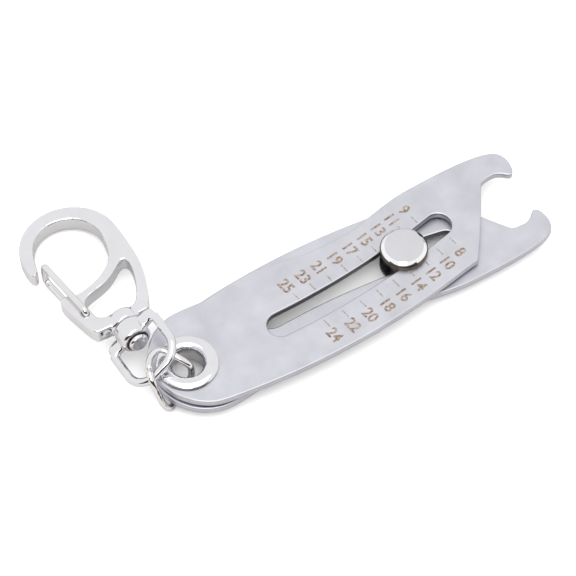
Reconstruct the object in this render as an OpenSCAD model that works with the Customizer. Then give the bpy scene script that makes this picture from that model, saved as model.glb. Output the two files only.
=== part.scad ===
// Thread size checker: two crossed pivoting jaw plates, a sliding knob that sets
// the jaws through two curved slots, and a key ring with a swivel snap hook.
// The origin is on the pivot axis, at the level of the table. +X runs along the
// centre line towards the jaws, and the snap hook lies out along +Y.

/* [Plates] */
// Thickness of each jaw plate
plate_t = 1.8; // [1.2:0.1:2.4]
// Height of the lower plate's underside above the table
plate_lift = 2.2; // [2.0:0.1:3.0]
// Space between the two plates
plate_gap = 0.4; // [0.3:0.05:0.8]
// Radius of the round heel behind the pivot
heel_r = 12.2; // [11.5:0.1:13.5]
// Distance of the heel's centre in front of the pivot
heel_x = 4.4; // [3.5:0.1:5.5]
// Depth of the plain edge below the centre line
belly_y = 14.7; // [13.5:0.1:16]
// Where along the plate the plain edge is deepest
belly_x = 31; // [26:0.5:36]
// Height of the jaw's back above the centre line
back_y = 13.7; // [13:0.1:15]
// Height of the shallow waist behind the jaw
waist_y = 10.7; // [10:0.1:12]
// Distance from the pivot to the tip of the jaw
jaw_x = 89.7; // [86:0.1:96]
// Height of the jaw's measuring flat above the centre line
flat_y = 6.7; // [5.5:0.1:8]
// Depth of the nib that closes round the thread
nib_h = 2.0; // [1:0.1:3]
// Length of the slanted front edge below the measuring flat
front_h = 19.3; // [17:0.1:20]

/* [Slots and slider] */
// Jaw angle given by each millimetre of slider travel, in degrees
slot_rate = 0.155; // [0.1:0.005:0.2]
// Slot centre nearest the pivot, which reads the largest size
slot_near = 22.9; // [20:0.1:30]
// Slot centre farthest from the pivot, which reads the smallest size
slot_far = 66.7; // [62:0.1:70]
// Where the slider stands as drawn
slider_x = 56.4; // [32:0.1:60]
// Diameter of the slider's stem in the slots
stem_d = 5.9; // [4:0.1:7]
// Diameter of the knob and of the foot
knob_d = 10.8; // [9:0.1:14]
// Height of the knob and of the foot
knob_h = 2.0; // [1.6:0.1:2.2]
// Slope of the knob's edge, measured along the top face
knob_bevel = 1.0; // [0.3:0.1:1.5]
// Diameter of the stud that joins the foot to the knob
stud_d = 3.0; // [2:0.1:3.5]

/* [Eyelet] */
// Bore of the eyelet
eyelet_bore = 7.1; // [6:0.1:7.5]
// Wall of the eyelet's barrel
eyelet_wall = 0.75; // [0.5:0.05:1]
// Diameter of the eyelet's flange
eyelet_flange_d = 14; // [12:0.1:16]
// Thickness of the eyelet's flange
eyelet_flange_t = 0.85; // [0.6:0.05:1.2]
// Diameter of the end rolled over below
eyelet_roll_d = 11.6; // [10.5:0.1:13]
// Thickness of the end rolled over below
eyelet_roll_t = 0.5; // [0.3:0.05:0.6]

/* [Key ring] */
// Diameter of the ring's wire
ring_d = 1.6; // [1.2:0.1:1.7]

/* [Stirrup] */
// Diameter of the stirrup's bar
bar_d = 2.0; // [1.6:0.1:2.2]
// Width of the stirrup between bar centres
stirrup_w = 13; // [12:0.1:14]
// Length of the stirrup from its top bar to its foot
stirrup_h = 13.2; // [12.4:0.1:14.4]
// Bend radius at the stirrup's foot
stirrup_bend = 5.0; // [3:0.1:5.5]
// Diameter of the stirrup's barrel
barrel_d = 7.0; // [5.5:0.1:8]
// Length of the stirrup's barrel
barrel_h = 4.6; // [3.5:0.1:5]
// Turn of the stirrup about the swivel, as it lies
stirrup_roll = -34; // [-40:1:-28]
// Diameter of the swivel rivet
rivet_d = 2.8; // [2:0.1:3.5]
// Diameter of the rivet's round head
rivet_head_d = 5.0; // [4:0.1:5.4]
// Height of the rivet's round head
rivet_head_h = 1.5; // [0.8:0.1:1.8]

/* [Snap hook] */
// Thickness of the hook's body
hook_t = 3.8; // [3:0.1:4.2]
// Outer radius of the hook's loop
loop_r = 11.6; // [11:0.1:12.4]
// Radius of the hole in the hook's loop
loop_hole_r = 8.0; // [7:0.1:8.4]
// Distance of the loop's centre from the foot of the hook
loop_x = 26.2; // [25.6:0.1:27]
// Diameter of the round boss that takes the rivet
boss_d = 6.8; // [5:0.1:7.5]
// Length of the boss
boss_h = 3.4; // [2.8:0.1:3.6]
// Diameter of the gate's wire
gate_d = 1.5; // [1:0.1:1.7]
// Reach of the gate from its pivot to its closed end
gate_reach = 17.4; // [16:0.1:17.6]
// Inner bend radius of the gate's wire
gate_bend = 0.7; // [0.5:0.1:1]

/* [Hidden] */

// clearances
fit = 0.05;
slide = 0.15;
face = 0.1;

// heights, from the table up
low_top = plate_lift + plate_t;
up_bot = low_top + plate_gap;
up_top = up_bot + plate_t;
slot_w = stem_d + 2 * slide;
barrel_r = eyelet_bore / 2 + eyelet_wall;

// the back of the heel, which the ring and the snap hook lie against
heel_back = heel_x - heel_r;
// how the snap hook lies: place, turn in plan, and slope down to the table
hook_pos = [heel_back + 0.85, heel_r + 2.55, up_top + 0.5];
hook_yaw = 89;
hook_pitch = 7;
// offset of the swivel axis from the hook's centre line
swivel_y = -0.4;
// the gate's pivot and the direction to its closed end
gate_pos = [7.2, 6.0];
gate_turn = 5.6;

// points on a circle, from angle a0 to a1
function arc(c, r, a0, a1, n) =
    [for (i = [0:n]) let (a = a0 + (a1 - a0) * i / n) c + r * [cos(a), sin(a)]];

// one point of a smooth curve between b and c
function between(a, b, c, d, t) =
    0.5 * (2 * b + (c - a) * t + (2 * a - 5 * b + 4 * c - d) * t * t
           + (3 * b - a - 3 * c + d) * t * t * t);

// a closed smooth curve through the points p
function smooth(p, n) = let (m = len(p))
    [for (i = [0:m - 1]) for (j = [0:n - 1])
        between(p[(i + m - 1) % m], p[i], p[(i + 1) % m], p[(i + 2) % m], j / n)];

// a closed tube of diameter d along the closed line p
module loop_tube(p, d, sides) {
    m = len(p);
    polyhedron(
        points = [for (i = [0:m - 1])
            let (t = p[(i + 1) % m] - p[(i + m - 1) % m],
                 side = cross(t, [0.4, 0.9, 0.1]),
                 u = side / norm(side), w = cross(t, u) / norm(cross(t, u)))
            for (s = [0:sides - 1]) let (a = 360 * s / sides)
                p[i] + d / 2 * (u * cos(a) + w * sin(a))],
        faces = [for (i = [0:m - 1]) for (s = [0:sides - 1])
            let (j = (i + 1) % m, q = (s + 1) % sides)
            [i * sides + s, j * sides + s, j * sides + q, i * sides + q]]);
}

// the two jaw plates

// the plain edge of the upper plate sags as a shallow parabola
function belly(x) = [x, 0.0029 * pow(x - belly_x, 2) - belly_y];

// the front edge runs down and back from the measuring flat
front_top = [jaw_x - 8.9, flat_y - 1];
front_run = front_h * [-0.56, -0.83];
front_end = front_top + front_run;

// corner points of the upper plate, anticlockwise from the top of the heel
plate_knots = concat(
    arc([heel_x, 0.6], heel_r, 85, 205, 6),
    [[-5.2, -7.1], [-2.6, -9.9], [1.2, -12.0]],
    [for (x = [8:9.5:65]) belly(x)],
    [front_end + [-2.2, -0.6], front_end + [-0.9, -0.4], front_end + [-0.1, 0.4],
     front_top + front_run * 0.66, front_top + front_run * 0.33, front_top,
     [jaw_x - 8, flat_y - 0.25], [jaw_x - 6.7, flat_y], [jaw_x - 4.8, flat_y],
     [jaw_x - 3.4, flat_y - nib_h * 0.3], [jaw_x - 2.3, flat_y - nib_h * 0.8],
     [jaw_x - 1.4, flat_y - nib_h], [jaw_x - 0.6, flat_y - nib_h * 0.7],
     [jaw_x - 0.1, flat_y + 0.1], [jaw_x, flat_y + 2],
     [jaw_x - 0.7, back_y - 2.9], [jaw_x - 2.2, back_y - 1.7], [jaw_x - 4.9, back_y - 0.8],
     [jaw_x - 9, back_y - 0.25], [jaw_x - 14, back_y], [jaw_x - 20, back_y],
     [jaw_x - 26, back_y - 0.2], [59, waist_y + 2.1], [54, waist_y + 1.1],
     [49, waist_y + 0.1], [42, waist_y], [36, waist_y + 0.5], [30.5, waist_y + 1.6],
     [24.7, waist_y + 2.5], [19, waist_y + 2.3], [12, waist_y + 1.6]]);

// centre line of the upper plate's slot: its polar angle grows evenly with radius
function slot_mid(r) = let (a = slot_rate * (r - slider_x)) r * [cos(a), sin(a)];
function slot_dir(r) = let (d = slot_mid(r + 0.1) - slot_mid(r - 0.1)) d / norm(d);
function slot_side(r, s) = let (d = slot_dir(r)) slot_mid(r) + s * slot_w / 2 * [-d.y, d.x];
function heading(v) = atan2(v.y, v.x);
slot_steps = 18;
slot_step = (slot_far - slot_near) / slot_steps;
slot_outline = concat(
    [for (i = [1:slot_steps - 1]) slot_side(slot_near + i * slot_step, -1)],
    let (a = heading(slot_dir(slot_far))) arc(slot_mid(slot_far), slot_w / 2, a - 90, a + 90, 12),
    [for (i = [slot_steps - 1:-1:1]) slot_side(slot_near + i * slot_step, 1)],
    let (a = heading(slot_dir(slot_near))) arc(slot_mid(slot_near), slot_w / 2, a + 90, a + 270, 12));

module plate_blank() {
    difference() {
        linear_extrude(plate_t) difference() {
            polygon(smooth(plate_knots, 4));
            polygon(slot_outline);
        }
        translate([0, 0, -1]) cylinder(h = plate_t + 2, r = barrel_r + fit, $fn = 96);
    }
}

module top_plate() {
    color("gainsboro") translate([0, 0, up_bot]) plate_blank();
}

module bottom_plate() {
    color("silver") translate([0, 0, plate_lift]) mirror([0, 1, 0]) plate_blank();
}

// the pivot eyelet and its washer

// section of the eyelet: flange above, barrel, and the end rolled over below
module pivot_eyelet() {
    r = eyelet_bore / 2;
    flange_r = eyelet_flange_d / 2;
    roll_r = eyelet_roll_d / 2;
    z0 = plate_lift - face;
    z1 = up_top + face;
    lip = eyelet_wall;
    color("whitesmoke") rotate_extrude($fn = 96) polygon(concat(
        arc([r + eyelet_roll_t, z0], eyelet_roll_t, 180, 270, 5),
        arc([roll_r - eyelet_roll_t / 2, z0 - eyelet_roll_t / 2], eyelet_roll_t / 2, -90, 90, 6),
        [[barrel_r, z0], [barrel_r, z1]],
        [[flange_r - eyelet_flange_t / 2, z1]],
        arc([flange_r - eyelet_flange_t / 2, z1 + eyelet_flange_t / 2], eyelet_flange_t / 2, -80, 90, 7),
        arc([r + lip, z1 + eyelet_flange_t - lip], lip, 90, 180, 6)));
}

module pivot_washer() {
    color("silver") translate([0, 0, low_top + fit]) difference() {
        cylinder(h = plate_gap - 2 * fit, d = eyelet_flange_d, $fn = 96);
        translate([0, 0, -1]) cylinder(h = plate_gap + 2, r = barrel_r + fit, $fn = 96);
    }
}

// the slider

// a round disc with a sloped edge on its free side
function disc_section(r, h, b) = [[0, 0], [r, 0], [r, h * 0.48], [r - b * 0.25, h * 0.66], [r - b, h], [0, h]];

module slider_knob() {
    color("gainsboro") translate([slider_x, 0, up_top + face]) difference() {
        rotate_extrude($fn = 96) polygon(disc_section(knob_d / 2, knob_h, knob_bevel));
        translate([0, 0, -1]) cylinder(h = knob_h * 0.6 + 1, d = stud_d + 2 * fit, $fn = 48);
    }
}

module slider_foot() {
    color("gainsboro") translate([slider_x, 0, 0]) {
        translate([0, 0, plate_lift - face]) mirror([0, 0, 1])
            rotate_extrude($fn = 96) polygon(disc_section(knob_d / 2, knob_h, knob_bevel));
        translate([0, 0, plate_lift - face - 0.5])
            cylinder(h = up_top - plate_lift + face + 0.5, d = stem_d, $fn = 72);
        translate([0, 0, up_top - 0.5])
            cylinder(h = knob_h * 0.6 + face + 0.4, d = stud_d, $fn = 48);
    }
}

// the key ring

// the ring runs up through the eyelet, over the stirrup's foot, and back round the heel
ring_line = [[0, -0.7, up_top + 0.2], [0.2, -1.3, plate_lift + 2], [-0.5, -1.6, plate_lift - 0.1],
             [-2.4, -2.3, ring_d / 2], [-5.3, -3.8, ring_d / 2], [heel_back, -5.2, 1.3],
             [heel_back - 1.1, -4.3, 3.2], [heel_back - 1.5, -2.6, up_top - 0.2],
             [heel_back - 1.8, -0.8, up_top + 2.5], [heel_back - 1.1, 1.4, up_top + 3.2],
             [heel_back + 0.7, 3.8, up_top + 3.2], [heel_back + 2.9, 4.7, up_top + 2.9],
             [-3.2, 3.9, up_top + 2.5], [-1.6, 1.4, up_top + 1.9]];

module chain_ring() {
    color("gainsboro") loop_tube(smooth(ring_line, 4), ring_d, 10);
}

// the snap hook and its stirrup

// the snap hook is drawn with +X towards its loop
module on_hook() {
    translate(hook_pos) rotate([0, hook_pitch, hook_yaw]) children();
}

// the same, from the swivel axis and turned about it
module on_swivel(roll = 0) {
    on_hook() translate([0, swivel_y, 0]) rotate([roll, 0, 0]) children();
}

// a bar of diameter d from a to b, in the plane z = 0
module bar(a, b, d) {
    v = b - a;
    translate([a.x, a.y, 0]) rotate([0, 90, heading(v)]) cylinder(h = norm(v), d = d, $fn = 32);
}

// a quarter bend about c from angle a0, in the plane z = 0
module bend(c, r, a0, d) {
    translate([c.x, c.y, 0]) rotate([0, 0, a0])
        rotate_extrude(angle = 90, $fn = 64) translate([r, 0]) circle(d = d, $fn = 32);
}

module stirrup() {
    w = stirrup_w / 2;
    x0 = -1.3;
    x1 = x0 - stirrup_h;
    b = stirrup_bend;
    c = 1.6;
    color("whitesmoke") on_swivel(stirrup_roll) difference() {
        union() {
            bar([x0, c - w], [x0, w - c], bar_d);
            for (s = [-1, 1]) {
                bar([x0 - c, s * w], [x1 + b, s * w], bar_d);
            }
            bar([x1, b - w], [x1, w - b], bar_d);
            bend([x0 - c, w - c], c, 0, bar_d);
            bend([x1 + b, w - b], b, 90, bar_d);
            bend([x1 + b, b - w], b, 180, bar_d);
            bend([x0 - c, c - w], c, 270, bar_d);
            translate([-barrel_h, 0, 0]) rotate([0, 90, 0]) rotate_extrude($fn = 72)
                polygon([[0, 0], [barrel_d / 2 - 0.5, 0], [barrel_d / 2, 0.5], [barrel_d / 2, barrel_h - 0.3],
                         [barrel_d / 2 - 0.3, barrel_h], [0, barrel_h]]);
        }
        translate([-barrel_h - 1, 0, 0]) rotate([0, 90, 0])
            cylinder(h = barrel_h + 2, d = rivet_d + 2 * fit, $fn = 48);
    }
}

module swivel_rivet() {
    head_r = rivet_head_d / 2;
    x0 = -barrel_h - face;
    color("silver") on_swivel() {
        translate([x0 - 0.2, 0, 0]) rotate([0, 90, 0])
            cylinder(h = barrel_h + boss_h * 0.7, d = rivet_d, $fn = 48);
        translate([x0, 0, 0]) rotate([0, -90, 0]) rotate_extrude($fn = 48)
            polygon(concat([[0, 0]],
                [for (a = [0:15:90]) [head_r * cos(a), rivet_head_h * (0.25 + 0.75 * sin(a))]]
                , [[0, rivet_head_h]]));
    }
}

// outline of the hook: the back, the loop, the nose, the mouth, the strut and the bar
hook_knots = concat(
    [[0.9, -5.4], [2.2, -7.0], [5, -8.6], [9, -10.2], [14, -11.5], [20, -12.0]],
    arc([loop_x, -0.4], loop_r, -85, 88, 9),
    [[loop_x - 2, 11.2], [loop_x - 3.2, 10.8], [loop_x - 3.4, 10], [loop_x - 2.4, 9.2],
     [loop_x - 0.2, 8.6]],
    arc([loop_x, 0], loop_hole_r, 68, -108, 9),
    [[21.3, -7.1], [19, -6.2], [17.2, -4.9], [15.7, -3], [14.6, -0.9], [13.8, 1.4], [13.2, 3.6],
     [13.2, 5.4], [13.9, 7], [14.2, 8.2], [13.4, 9.1], [11.8, 9.2], [10, 8.9], [6.5, 8.2],
     [3.4, 7.6], [1.6, 6.8], [0.9, 5.2]]);

// the three-sided window between the back, the strut and the bar
window_knots = [[3.6, -3.4], [4.2, -4.8], [6, -6.1], [8.8, -7.5], [12, -8.6], [14.8, -9.1],
                [16.2, -8.6], [16, -7.3], [14.5, -5.3], [13.2, -3.2], [12.3, -1], [11.7, 1.4],
                [11, 3.6], [9.8, 4.7], [7.6, 4.7], [5.2, 4.4], [4.1, 3], [4, 0.6],
                [3.7, -1.6]];

module hook_body() {
    color("whitesmoke") on_hook() difference() {
        union() {
            translate([0, 0, -hook_t / 2]) linear_extrude(hook_t) difference() {
                polygon(smooth(hook_knots, 4));
                polygon(smooth(window_knots, 3));
            }
            translate([face * 2, swivel_y, 0]) rotate([0, 90, 0])
                rotate_extrude($fn = 72) polygon([[0, 0], [boss_d / 2 - 0.3, 0], [boss_d / 2, 0.3],
                    [boss_d / 2, boss_h - 0.6], [boss_d / 2 - 0.6, boss_h], [0, boss_h]]);
        }
        translate([-1, swivel_y, 0]) rotate([0, 90, 0])
            cylinder(h = boss_h * 0.8 + 1, d = rivet_d + 2 * fit, $fn = 48);
        translate([gate_pos.x, gate_pos.y, -hook_t])
            cylinder(h = 2 * hook_t, d = gate_d + 2 * fit, $fn = 48);
    }
}

// the gate is one wire, bent round the nose, with both ends turned into the pivot hole
module wire_gate() {
    b = gate_bend + gate_d / 2;
    // the bend at the pivot is sharp, so that the wire is straight inside the hole
    c = face + gate_d / 2;
    h = hook_t / 2 + face + gate_d / 2;
    x1 = gate_reach - gate_d / 2;
    color("silver") on_hook() translate([gate_pos.x, gate_pos.y, 0]) rotate([90, 0, gate_turn]) {
        for (s = [-1, 1]) mirror([0, s < 0 ? 1 : 0, 0]) {
            bar([0, 0.5], [0, h - c], gate_d);
            bend([c, h - c], c, 90, gate_d);
            bar([c, h], [x1 - b, h], gate_d);
            bend([x1 - b, h - b], b, 0, gate_d);
        }
        bar([x1, b - h], [x1, h - b], gate_d);
    }
}

top_plate();
bottom_plate();
pivot_eyelet();
pivot_washer();
slider_knob();
slider_foot();
chain_ring();
stirrup();
swivel_rivet();
hook_body();
wire_gate();
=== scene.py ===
import math

import bmesh
import bpy
from mathutils import Matrix, Vector


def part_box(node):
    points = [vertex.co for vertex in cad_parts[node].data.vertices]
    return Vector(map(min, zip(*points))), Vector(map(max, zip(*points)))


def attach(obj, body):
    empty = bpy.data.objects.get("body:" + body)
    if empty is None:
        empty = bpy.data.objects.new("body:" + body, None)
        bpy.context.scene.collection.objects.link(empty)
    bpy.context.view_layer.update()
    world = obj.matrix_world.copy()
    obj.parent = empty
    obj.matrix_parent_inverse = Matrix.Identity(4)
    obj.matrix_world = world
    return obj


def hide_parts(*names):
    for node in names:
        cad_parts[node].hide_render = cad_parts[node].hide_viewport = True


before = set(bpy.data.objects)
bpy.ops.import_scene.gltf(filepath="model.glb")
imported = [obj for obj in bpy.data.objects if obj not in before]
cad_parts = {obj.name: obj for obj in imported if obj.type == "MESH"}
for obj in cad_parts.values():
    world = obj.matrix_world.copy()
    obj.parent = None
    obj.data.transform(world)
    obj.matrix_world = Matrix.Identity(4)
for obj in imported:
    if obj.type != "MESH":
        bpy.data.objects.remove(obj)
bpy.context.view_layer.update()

mm = 0.001
scene = bpy.context.scene


# basic tools

def selectOnly(*objs):
    bpy.ops.object.select_all(action="DESELECT")
    for obj in objs:
        obj.select_set(True)
    bpy.context.view_layer.objects.active = objs[0]


def copyNode(node, name):
    # the copy is merged at once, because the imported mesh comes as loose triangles
    obj = bpy.data.objects.new(name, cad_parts[node].data.copy())
    scene.collection.objects.link(obj)
    obj.data.materials.clear()
    selectOnly(obj)
    bpy.ops.object.mode_set(mode="EDIT")
    bpy.ops.mesh.select_all(action="SELECT")
    bpy.ops.mesh.customdata_custom_splitnormals_clear()
    bpy.ops.mesh.remove_doubles(threshold=0.001 * mm)
    bpy.ops.mesh.dissolve_limited(angle_limit=math.radians(0.5))
    bpy.ops.mesh.normals_make_consistent(inside=False)
    bpy.ops.object.mode_set(mode="OBJECT")
    return obj


def applyModifier(obj, kind, **settings):
    selectOnly(obj)
    modifier = obj.modifiers.new(kind.lower(), kind)
    for key, value in settings.items():
        setattr(modifier, key, value)
    bpy.ops.object.modifier_apply(modifier=modifier.name)


def smoothShade(obj, degrees):
    selectOnly(obj)
    bpy.ops.object.shade_smooth_by_angle(angle=math.radians(degrees))


def plainPiece(node, name, body, slotName, material, degrees):
    # a piece that is the CAD's own shape, with only its shading smoothed
    obj = copyNode(node, name)
    smoothShade(obj, degrees)
    finishPiece(obj, body, slotName, material, node)
    return obj


def finishPiece(obj, body, slotName, material, *nodes):
    obj.data.materials.append(material)
    if nodes:
        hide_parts(*nodes)
    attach(obj, body)


def meshPiece(name, mesh):
    # the bmesh is turned into an object and freed
    data = bpy.data.meshes.new(name)
    mesh.to_mesh(data)
    mesh.free()
    obj = bpy.data.objects.new(name, data)
    scene.collection.objects.link(obj)
    return obj


def closeRings(mesh, rings):
    # a skin between closed rings of vertices that themselves stand in a closed circle
    for i, ring in enumerate(rings):
        following = rings[(i + 1) % len(rings)]
        for k in range(len(ring)):
            m = (k + 1) % len(ring)
            mesh.faces.new((ring[k], following[k], following[m], ring[m]))
    bmesh.ops.remove_doubles(mesh, verts=mesh.verts, dist=0.001 * mm)
    bmesh.ops.recalc_face_normals(mesh, faces=mesh.faces)


# shared surface effects

def newGroup(name, inputs, outputs):
    group = bpy.data.node_groups.new(name, "ShaderNodeTree")
    for label, kind, value in inputs:
        socket = group.interface.new_socket(name=label, in_out="INPUT", socket_type=kind)
        socket.default_value = value
    for label, kind in outputs:
        group.interface.new_socket(name=label, in_out="OUTPUT", socket_type=kind)
    return group, group.nodes.new("NodeGroupInput"), group.nodes.new("NodeGroupOutput")


def addNode(tree, kind, **settings):
    node = tree.nodes.new(kind)
    for key, value in settings.items():
        setattr(node, key, value)
    return node


def makeTumbleGroup():
    # cloudy grey patches, fine grain and hair scratches left by tumbling
    group, source, sink = newGroup(
        "tumbledSurface",
        [("Grain", "NodeSocketFloat", 1.0), ("Strength", "NodeSocketFloat", 1.0)],
        [("Cloud", "NodeSocketFloat"), ("Scratch", "NodeSocketFloat"), ("Normal", "NodeSocketVector")],
    )
    link = group.links.new
    place = addNode(group, "ShaderNodeTexCoord")
    cloud = addNode(group, "ShaderNodeTexNoise")
    cloud.inputs["Scale"].default_value = 160
    cloud.inputs["Detail"].default_value = 5
    cloud.inputs["Roughness"].default_value = 0.6
    link(place.outputs["Object"], cloud.inputs["Vector"])
    link(cloud.outputs["Fac"], sink.inputs["Cloud"])
    stretch = addNode(group, "ShaderNodeMapping")
    stretch.inputs["Rotation"].default_value = (0, 0, math.radians(24))
    stretch.inputs["Scale"].default_value = (420, 2600, 900)
    link(place.outputs["Object"], stretch.inputs["Vector"])
    hair = addNode(group, "ShaderNodeTexNoise")
    hair.inputs["Scale"].default_value = 1.0
    hair.inputs["Detail"].default_value = 2
    link(stretch.outputs["Vector"], hair.inputs["Vector"])
    thin = addNode(group, "ShaderNodeMapRange")
    thin.inputs["From Min"].default_value = 0.70
    thin.inputs["From Max"].default_value = 0.78
    link(hair.outputs["Fac"], thin.inputs["Value"])
    link(thin.outputs["Result"], sink.inputs["Scratch"])
    size = addNode(group, "ShaderNodeMath", operation="MULTIPLY")
    size.inputs[1].default_value = 5200
    link(source.outputs["Grain"], size.inputs[0])
    grain = addNode(group, "ShaderNodeTexNoise")
    grain.inputs["Detail"].default_value = 3
    link(place.outputs["Object"], grain.inputs["Vector"])
    link(size.outputs["Value"], grain.inputs["Scale"])
    bump = addNode(group, "ShaderNodeBump")
    bump.inputs["Distance"].default_value = 0.01 * mm
    link(source.outputs["Strength"], bump.inputs["Strength"])
    link(grain.outputs["Fac"], bump.inputs["Height"])
    link(bump.outputs["Normal"], sink.inputs["Normal"])
    return group


tumble = makeTumbleGroup()


def metal(name, dark, light, rough, roughSpread, grain, strength, scratch):
    # a metal whose colour and gloss both wander a little with the cloud
    material = bpy.data.materials.new(name)
    material.use_nodes = True
    tree = material.node_tree
    link = tree.links.new
    shader = tree.nodes["Principled BSDF"]
    shader.inputs["Metallic"].default_value = 1.0
    surface = addNode(tree, "ShaderNodeGroup", node_tree=tumble)
    surface.inputs["Grain"].default_value = grain
    surface.inputs["Strength"].default_value = strength
    tone = addNode(tree, "ShaderNodeMix", data_type="RGBA")
    tone.inputs["A"].default_value = (*dark, 1)
    tone.inputs["B"].default_value = (*light, 1)
    link(surface.outputs["Cloud"], tone.inputs["Factor"])
    mark = addNode(tree, "ShaderNodeMix", data_type="RGBA")
    scratchShade = 0.72
    mark.inputs["B"].default_value = (*[channel * scratchShade for channel in dark], 1)
    amount = addNode(tree, "ShaderNodeMath", operation="MULTIPLY")
    amount.inputs[1].default_value = scratch
    link(surface.outputs["Scratch"], amount.inputs[0])
    link(amount.outputs["Value"], mark.inputs["Factor"])
    link(tone.outputs["Result"], mark.inputs["A"])
    link(mark.outputs["Result"], shader.inputs["Base Color"])
    gloss = addNode(tree, "ShaderNodeMapRange")
    gloss.inputs["From Min"].default_value = 0.3
    gloss.inputs["From Max"].default_value = 0.7
    gloss.inputs["To Min"].default_value = rough
    gloss.inputs["To Max"].default_value = rough + roughSpread
    link(surface.outputs["Cloud"], gloss.inputs["Value"])
    link(gloss.outputs["Result"], shader.inputs["Roughness"])
    link(surface.outputs["Normal"], shader.inputs["Normal"])
    return material


plateSteel = metal("plateSteel", dark=(0.50, 0.50, 0.545), light=(0.68, 0.68, 0.73),
                   rough=0.30, roughSpread=0.14, grain=1.0, strength=0.5, scratch=0.3)
knobMetal = metal("knobMetal", dark=(0.64, 0.64, 0.66), light=(0.73, 0.73, 0.76),
                  rough=0.14, roughSpread=0.08, grain=1.0, strength=0.12, scratch=0.1)
brightChrome = metal("brightChrome", dark=(0.71, 0.71, 0.73), light=(0.84, 0.84, 0.87),
                     rough=0.07, roughSpread=0.06, grain=0.5, strength=0.12, scratch=0.0)
wireNickel = metal("wireNickel", dark=(0.72, 0.71, 0.71), light=(0.85, 0.845, 0.85),
                   rough=0.07, roughSpread=0.06, grain=0.5, strength=0.15, scratch=0.0)
# a brighter metal for the slider's rim: painted highlight
rimHighlightMetal = metal("rimHighlightMetal", dark=(0.86, 0.86, 0.87), light=(0.96, 0.96, 0.97),
                 rough=0.05, roughSpread=0.04, grain=0.5, strength=0.1, scratch=0.0)
# darker steel for the walls inside the slot: painted shade
slotShadeSteel = metal("slotShadeSteel", dark=(0.20, 0.20, 0.21), light=(0.42, 0.42, 0.45),
                 rough=0.28, roughSpread=0.16, grain=1.0, strength=0.8, scratch=0.4)
# a near-black metal: painted shade on the slider's flank and round the rivet
paintedShadeMetal = metal("paintedShadeMetal", dark=(0.055, 0.045, 0.038), light=(0.20, 0.175, 0.155),
                  rough=0.22, roughSpread=0.2, grain=0.6, strength=0.4, scratch=0.0)


def printedMaterial(name, dark, light):
    # burnt-in marking: a matt oxide that is uneven along its lines
    material = bpy.data.materials.new(name)
    material.use_nodes = True
    tree = material.node_tree
    link = tree.links.new
    shader = tree.nodes["Principled BSDF"]
    shader.inputs["Metallic"].default_value = 0.35
    shader.inputs["Roughness"].default_value = 0.7
    place = addNode(tree, "ShaderNodeTexCoord")
    uneven = addNode(tree, "ShaderNodeTexNoise")
    uneven.inputs["Scale"].default_value = 1900
    uneven.inputs["Detail"].default_value = 3
    link(place.outputs["Object"], uneven.inputs["Vector"])
    sharpen = addNode(tree, "ShaderNodeMapRange")
    sharpen.inputs["From Min"].default_value = 0.4
    sharpen.inputs["From Max"].default_value = 0.6
    link(uneven.outputs["Fac"], sharpen.inputs["Value"])
    tone = addNode(tree, "ShaderNodeMix", data_type="RGBA")
    tone.inputs["A"].default_value = (*dark, 1)
    tone.inputs["B"].default_value = (*light, 1)
    link(sharpen.outputs["Result"], tone.inputs["Factor"])
    link(tone.outputs["Result"], shader.inputs["Base Color"])
    return material


digitBrown = printedMaterial("digitBrown", dark=(0.15, 0.105, 0.078), light=(0.35, 0.29, 0.24))
tickGrey = printedMaterial("tickGrey", dark=(0.22, 0.20, 0.19), light=(0.40, 0.38, 0.38))
print("materials made")


# the two plates, with edges rounded by tumbling

# a face is flat or a wall by how far its normal points up or down
plates = {
    "edge": 0.32 * mm,
    "steps": 3,
    "corner": math.radians(50),
    "shade": 40,
    "flat": 0.9999,
    "wall": 0.3,
    "slotStart": 19 * mm,
    "slotEnd": 71 * mm,
    "slotReach": 5.6 * mm,
}


def isSlotWall(face):
    alongSlot = plates["slotStart"] < face.center.x < plates["slotEnd"]
    return abs(face.normal.z) < plates["wall"] and alongSlot and abs(face.center.y) < plates["slotReach"]


def roundPlate(node, name, body):
    obj = copyNode(node, name)
    applyModifier(obj, "BEVEL", width=plates["edge"], segments=plates["steps"], limit_method="ANGLE",
                  angle_limit=plates["corner"], use_clamp_overlap=False, miter_outer="MITER_ARC")
    smoothShade(obj, plates["shade"])
    finishPiece(obj, body, "plate_steel", plateSteel, node)
    # the faces stay flat in shading, and the slot's walls get a darker steel: painted shade inside the slot
    obj.data.materials.append(slotShadeSteel)
    for face in obj.data.polygons:
        if abs(face.normal.z) > plates["flat"]:
            face.use_smooth = False
        if isSlotWall(face):
            face.material_index = 1


roundPlate("top_plate", "upperPlate", "upper_jaw")
roundPlate("bottom_plate", "lowerPlate", "lower_jaw")
print("plates made")


# the scale on the upper plate's face: a tick and a number for each size

# a row's radius and offset are the terms of a curve in the count of ticks from its smallest size:
# the tick's distance from the pivot, and how far it stands off the slot's centre line, in millimetres;
# number is how far a number stands from the middle of its tick
marks = {
    "face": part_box("top_plate")[1].z,
    "slotRate": math.radians(0.155),
    "tickLength": 2.25 * mm,
    "tickWidth": 0.36 * mm,
    "tickTurn": math.radians(-81.4),
    "tickTop": 0.012 * mm,
    "sunk": 0.04 * mm,
    "digitHeight": 2.6 * mm,
    "fontShare": 0.69,
    "digitSpace": 1.02,
    "digitNarrow": 0.92,
    "digitTurn": math.radians(-82),
    "digitSwell": 0.095 * mm,
    "digitDepth": 0.01 * mm,
    "digitLift": 0.002 * mm,
    "digitSteps": 3,
    "odd": {"sizes": range(9, 26, 2), "radius": (63.15, -3.91, -0.035), "offset": (4.72, -0.015, 0),
            "number": (-0.57, 3.36)},
    "even": {"sizes": range(8, 25, 2), "radius": (67.25, -3.95, -0.05), "offset": (-5.47, -0.0675, 0.0125),
             "number": (-0.33, -3.43)},
}


def curveValue(terms, count):
    return terms[0] + terms[1] * count + terms[2] * count * count


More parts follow.
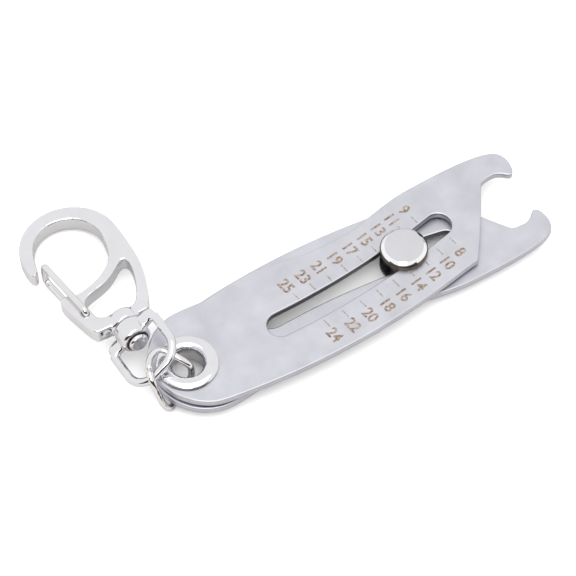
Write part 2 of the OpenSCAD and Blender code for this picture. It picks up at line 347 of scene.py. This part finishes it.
def tickMiddle(row, count):
    # the slot's centre line turns evenly with its distance from the pivot, and crosses X under the knob
    low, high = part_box("slider_knob")
    knobPlace = (low.x + high.x) / 2 / mm
    r = curveValue(row["radius"], count)
    turn = marks["slotRate"] * (r - knobPlace) + curveValue(row["offset"], count) / r
    return Vector((r * math.cos(turn), r * math.sin(turn), 0)) * mm


def makeTicks():
    mesh = bmesh.new()
    lift = Vector((0, 0, marks["face"] + (marks["tickTop"] - marks["sunk"]) / 2))
    turn = Matrix.Rotation(marks["tickTurn"], 4, "Z")
    size = Matrix.Diagonal((marks["tickLength"], marks["tickWidth"], marks["tickTop"] + marks["sunk"], 1))
    for row in (marks["odd"], marks["even"]):
        for count in range(len(row["sizes"])):
            place = Matrix.Translation(tickMiddle(row, count) + lift)
            bmesh.ops.create_cube(mesh, size=1.0, matrix=place @ turn @ size)
    obj = meshPiece("scaleTicks", mesh)
    finishPiece(obj, "upper_jaw", "plate_steel", tickGrey)


def makeNumber(size, middle):
    # a number reads away from the plate's upper edge, one digit below the other
    curve = bpy.data.curves.new(f"number{size}", "FONT")
    curve.body = str(size)
    curve.size = marks["digitHeight"] / marks["fontShare"]
    curve.align_x = "CENTER"
    curve.align_y = "CENTER"
    curve.space_character = marks["digitSpace"]
    curve.offset = marks["digitSwell"]
    curve.extrude = marks["digitDepth"]
    curve.resolution_u = marks["digitSteps"]
    obj = bpy.data.objects.new(f"number{size}", curve)
    scene.collection.objects.link(obj)
    selectOnly(obj)
    bpy.ops.object.convert(target="MESH")
    obj = bpy.context.view_layer.objects.active
    lift = Vector((0, 0, marks["face"] + marks["digitLift"]))
    place = Matrix.Translation(middle + lift) @ Matrix.Rotation(marks["digitTurn"], 4, "Z")
    obj.data.transform(place @ Matrix.Diagonal((marks["digitNarrow"], 1, 1, 1)))
    return obj


def makeNumbers():
    made = []
    for row in (marks["odd"], marks["even"]):
        aside = Vector((*row["number"], 0)) * mm
        for count, size in enumerate(row["sizes"]):
            made.append(makeNumber(size, tickMiddle(row, count) + aside))
    selectOnly(*made)
    bpy.ops.object.join()
    obj = bpy.context.view_layer.objects.active
    obj.name = "scaleNumbers"
    obj.data.materials.clear()
    finishPiece(obj, "upper_jaw", "plate_steel", digitBrown)


makeTicks()
makeNumbers()
print("scale made")


# eyelet, washer and slider

# the points are millimetres in from the rim, and then down from the top or up from the bottom
eyeletShape = {
    "sides": 96,
    "flange": [(0.45, 0.84), (0.1, 0.76), (0.02, 0.6), (0.1, 0.42), (0.3, 0.27), (0.7, 0.14), (1.3, 0.04),
               (1.8, 0), (2.3, 0.04), (2.75, 0.22), (3.1, 0.55), (3.33, 1.0), (3.42, 1.7)],
    "rolledEnd": [(3.42, 1.0), (3.2, 0.2), (2.8, 0.02), (1.5, 0.02), (1.3, 0.25), (1.5, 0.48), (2.7, 0.5)],
    "underFlange": (2.72, 0.84),
    "shade": 50,
}


def makeEyelet():
    # the flange is a domed ring that turns down into the bore, and the far end is rolled out
    low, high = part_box("pivot_eyelet")
    sides = eyeletShape["sides"]
    section = [(high.x - inward * mm, high.z - down * mm) for inward, down in eyeletShape["flange"]]
    section += [(high.x - inward * mm, low.z + up * mm) for inward, up in eyeletShape["rolledEnd"]]
    inward, down = eyeletShape["underFlange"]
    section.append((high.x - inward * mm, high.z - down * mm))
    mesh = bmesh.new()
    rings = []
    for i in range(sides):
        a = 2 * math.pi * i / sides
        rings.append([mesh.verts.new((r * math.cos(a), r * math.sin(a), z)) for r, z in section])
    closeRings(mesh, rings)
    obj = meshPiece("eyelet", mesh)
    smoothShade(obj, eyeletShape["shade"])
    finishPiece(obj, "eyelet", "bright_metal", brightChrome, "pivot_eyelet")


makeEyelet()

# a face is wall, rim or top by how far its normal points up
sliderShape = {"wall": 0.6, "rim": 0.95, "shadedReach": 1.2 * mm, "shade": 24}

plainPiece("pivot_washer", "washer", "eyelet", "plate_steel", plateSteel, sliderShape["shade"])
knob = plainPiece("slider_knob", "knob", "slider", "knob_metal", knobMetal, sliderShape["shade"])
foot = plainPiece("slider_foot", "foot", "slider", "knob_metal", knobMetal, sliderShape["shade"])


def darkenFlank(obj, upTo):
    # below its rim the slider gets a near-black metal as painted shade, and the rim a brighter metal as a
    # painted highlight
    obj.data.materials.append(paintedShadeMetal)
    obj.data.materials.append(rimHighlightMetal)
    for face in obj.data.polygons:
        if abs(face.normal.z) < sliderShape["wall"] and face.center.z < upTo:
            face.material_index = 1
        elif sliderShape["wall"] <= face.normal.z < sliderShape["rim"]:
            face.material_index = 2


darkenFlank(knob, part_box("slider_knob")[0].z + sliderShape["shadedReach"])
darkenFlank(foot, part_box("slider_foot")[1].z)
print("eyelet and slider made")


# key ring, stirrup and snap hook

# the swivel's frame: X runs along the rivet towards the hook's loop
swivel = {"corner": (-6.95, 14.75, 6.7), "yaw": 89, "pitch": 7, "axisY": -0.4}
swivelPlace = (Matrix.Translation(Vector(swivel["corner"]) * mm)
               @ Matrix.Rotation(math.radians(swivel["yaw"]), 4, "Z")
               @ Matrix.Rotation(math.radians(swivel["pitch"]), 4, "Y")
               @ Matrix.Translation((0, swivel["axisY"] * mm, 0)))


def roundOver(obj, voxel, rounds):
    # joins run together and every edge is rounded, as by casting and plating
    applyModifier(obj, "REMESH", mode="VOXEL", voxel_size=voxel, use_smooth_shade=True)
    applyModifier(obj, "SMOOTH", factor=0.5, iterations=rounds)


# in the swivel's frame: the band lies between its far and near ends, and is pushed out by wide
stirrupShape = {
    "roll": -34,
    "bandFar": -2.4 * mm,
    "bandNear": -1.35 * mm,
    "wide": 1.3 * mm,
    "voxel": 0.16 * mm,
    "rounds": 6,
}


def makeStirrup():
    # the shoulders beside the barrel are flat bands, wider than the wire of the legs
    place = swivelPlace @ Matrix.Rotation(math.radians(stirrupShape["roll"]), 4, "X")
    back = place.inverted()
    obj = copyNode("stirrup", "stirrup")
    for v in obj.data.vertices:
        p = back @ v.co
        if stirrupShape["bandFar"] < p.x < stirrupShape["bandNear"]:
            p.x -= stirrupShape["wide"]
            v.co = place @ p
    roundOver(obj, stirrupShape["voxel"], stirrupShape["rounds"])
    finishPiece(obj, "stirrup", "bright_metal", brightChrome, "stirrup")


hookShape = {"voxel": 0.17 * mm, "rounds": 45}


def makeHook():
    obj = copyNode("hook_body", "hook")
    roundOver(obj, hookShape["voxel"], hookShape["rounds"])
    finishPiece(obj, "snap_hook", "bright_metal", brightChrome, "hook_body")


wireShape = {"quadAngle": math.radians(60), "levels": 2, "ringShade": 80, "gateShade": 60}


def makeRing():
    obj = copyNode("chain_ring", "keyRing")
    angle = wireShape["quadAngle"]
    selectOnly(obj)
    bpy.ops.object.mode_set(mode="EDIT")
    bpy.ops.mesh.select_all(action="SELECT")
    bpy.ops.mesh.tris_convert_to_quads(face_threshold=angle, shape_threshold=angle)
    bpy.ops.object.mode_set(mode="OBJECT")
    applyModifier(obj, "SUBSURF", levels=wireShape["levels"])
    smoothShade(obj, wireShape["ringShade"])
    finishPiece(obj, "key_ring", "wire_metal", wireNickel, "chain_ring")


makeRing()
plainPiece("wire_gate", "gateWire", "gate", "wire_metal", wireNickel, wireShape["gateShade"])


# each section holds distances along the swivel's axis and radii, in millimetres
rivetShape = {
    "head": [(-4.72, 0), (-4.72, 2.15), (-4.82, 2.28), (-5.15, 2.28), (-5.45, 2.14), (-5.66, 1.9),
             (-5.7, 1.68), (-5.6, 1.48), (-5.56, 1.3), (-5.64, 0)],
    "shank": [(2.2, 0), (2.2, 1.38), (-4.74, 1.38), (-4.74, 0)],
    # the thin dark ring at the barrel's end is painted shade
    "shadeAnnulus": [(-4.615, 1.5), (-4.615, 2.72), (-4.66, 2.72), (-4.66, 1.5)],
    "sides": 64,
    "shankSides": 48,
    "shade": 32,
}


def turnOnSwivel(name, section, sides):
    mesh = bmesh.new()
    rings = []
    for i in range(sides):
        a = 2 * math.pi * i / sides
        points = [Vector((x, r * math.cos(a), r * math.sin(a))) * mm for x, r in section]
        rings.append([mesh.verts.new(swivelPlace @ point) for point in points])
    closeRings(mesh, rings)
    obj = meshPiece(name, mesh)
    smoothShade(obj, rivetShape["shade"])
    return obj


def makeRivet():
    parts = [turnOnSwivel("rivet", rivetShape["head"], rivetShape["sides"]),
             turnOnSwivel("shank", rivetShape["shank"], rivetShape["shankSides"])]
    selectOnly(*parts)
    bpy.ops.object.join()
    obj = bpy.context.view_layer.objects.active
    finishPiece(obj, "snap_hook", "bright_metal", brightChrome, "swivel_rivet")


def makeRecess():
    # a thin dark ring at the barrel's end round the rivet: painted shade for the dark crescents there
    obj = turnOnSwivel("rivetShadeRing", rivetShape["shadeAnnulus"], rivetShape["sides"])
    finishPiece(obj, "stirrup", "bright_metal", paintedShadeMetal)


makeRivet()
makeRecess()
makeStirrup()
makeHook()
print("ring, stirrup and hook made")


# floor, light and surroundings

def plainMaterial(name, colour, rough):
    material = bpy.data.materials.new(name)
    material.use_nodes = True
    shader = material.node_tree.nodes["Principled BSDF"]
    shader.inputs["Base Color"].default_value = (*colour, 1)
    shader.inputs["Roughness"].default_value = rough
    shader.inputs["Specular IOR Level"].default_value = 0.1
    return material


# the floor has two greys: the camera's, and the darker one that polished metal mirrors
floorShape = {"size": 6, "seen": (0.93, 0.93, 0.93), "mirrored": (0.50, 0.485, 0.475)}


def makeFloor():
    bpy.ops.mesh.primitive_plane_add(size=floorShape["size"], location=(0, 0, 0))
    floor = bpy.context.active_object
    floor.name = "floor"
    material = plainMaterial("floorWhite", floorShape["seen"], 0.9)
    floor.data.materials.append(material)
    tree = material.node_tree
    path = addNode(tree, "ShaderNodeLightPath")
    tone = addNode(tree, "ShaderNodeMix", data_type="RGBA")
    tone.inputs["A"].default_value = (*floorShape["seen"], 1)
    tone.inputs["B"].default_value = (*floorShape["mirrored"], 1)
    tree.links.new(path.outputs["Is Glossy Ray"], tone.inputs["Factor"])
    tree.links.new(tone.outputs["Result"], tree.nodes["Principled BSDF"].inputs["Base Color"])


cards = {
    "count": 5,
    "centre": 0.02,
    "away": 0.34,
    "height": 0.19,
    "width": 0.15,
    "turn": -122,
    "step": 24,
    "colour": (0.032, 0.022, 0.016),
}


def makeCards():
    # dark cards on the camera's side give the polished pieces their thin warm lines
    material = plainMaterial("cardDark", cards["colour"], 0.8)
    for i in range(cards["count"]):
        a = math.radians(cards["turn"] + cards["step"] * (i - cards["count"] // 2))
        x = cards["centre"] + cards["away"] * math.cos(a)
        y = cards["away"] * math.sin(a)
        bpy.ops.mesh.primitive_plane_add(size=1, location=(x, y, cards["height"] / 2),
                                         rotation=(math.pi / 2, 0, a + math.pi / 2))
        card = bpy.context.active_object
        card.name = f"card{i}"
        card.scale = (cards["width"], cards["height"], 1)
        card.data.materials.append(material)
        card.visible_camera = False
        card.visible_shadow = False
        card.visible_diffuse = False


# what lights the matt surfaces, and what the camera and the polished metal see
skyStrength = {"light": 1.7, "seen": 1.0}


def makeLight():
    world = bpy.data.worlds.new("studio")
    scene.world = world
    world.use_nodes = True
    tree = world.node_tree
    sky = tree.nodes["Background"]
    sky.inputs["Color"].default_value = (1, 1, 1, 1)
    sky.inputs["Strength"].default_value = skyStrength["light"]
    white = addNode(tree, "ShaderNodeBackground")
    white.inputs["Color"].default_value = (1, 1, 1, 1)
    white.inputs["Strength"].default_value = skyStrength["seen"]
    path = addNode(tree, "ShaderNodeLightPath")
    seen = addNode(tree, "ShaderNodeMath", operation="MAXIMUM")
    tree.links.new(path.outputs["Is Camera Ray"], seen.inputs[0])
    tree.links.new(path.outputs["Is Glossy Ray"], seen.inputs[1])
    mix = addNode(tree, "ShaderNodeMixShader")
    tree.links.new(seen.outputs["Value"], mix.inputs["Fac"])
    tree.links.new(sky.outputs["Background"], mix.inputs[1])
    tree.links.new(white.outputs["Background"], mix.inputs[2])
    tree.links.new(mix.outputs["Shader"], tree.nodes["World Output"].inputs["Surface"])


lampAim = Vector((0.03, 0, 0))
lamps = {
    "topSoftbox": {"place": (-0.02, -0.12, 1.1), "size": (0.9, 0.9), "energy": 3.5},
    "edgeStrip": {"place": (-0.40, -0.62, 0.62), "size": (0.5, 0.2), "energy": 1.0},
}


def makeLamp(name, setting):
    lamp = bpy.data.lights.new(name, "AREA")
    lamp.shape = "RECTANGLE"
    lamp.size, lamp.size_y = setting["size"]
    lamp.energy = setting["energy"]
    obj = bpy.data.objects.new(name, lamp)
    scene.collection.objects.link(obj)
    obj.location = setting["place"]
    obj.rotation_euler = (lampAim - obj.location).to_track_quat("-Z", "Y").to_euler()


makeFloor()
makeCards()
makeLight()
for name, setting in lamps.items():
    makeLamp(name, setting)
print("studio made")


# camera

# it stands where the photograph was taken from, and looks at the middle of its frame
view = {"target": (29.16, 5.19, 6.2), "away": (-257.9, -416.8, 754.8), "lens": 253.2, "sensor": 36, "far": 20}


def makeCamera():
    target = Vector(view["target"]) * mm
    data = bpy.data.cameras.new("camera")
    data.sensor_width = view["sensor"]
    data.lens = view["lens"]
    data.clip_end = view["far"]
    obj = bpy.data.objects.new("camera", data)
    scene.collection.objects.link(obj)
    obj.location = target + Vector(view["away"]) * mm
    obj.rotation_euler = (target - obj.location).to_track_quat("-Z", "Y").to_euler()
    scene.camera = obj


makeCamera()
scene.view_settings.view_transform = "Standard"
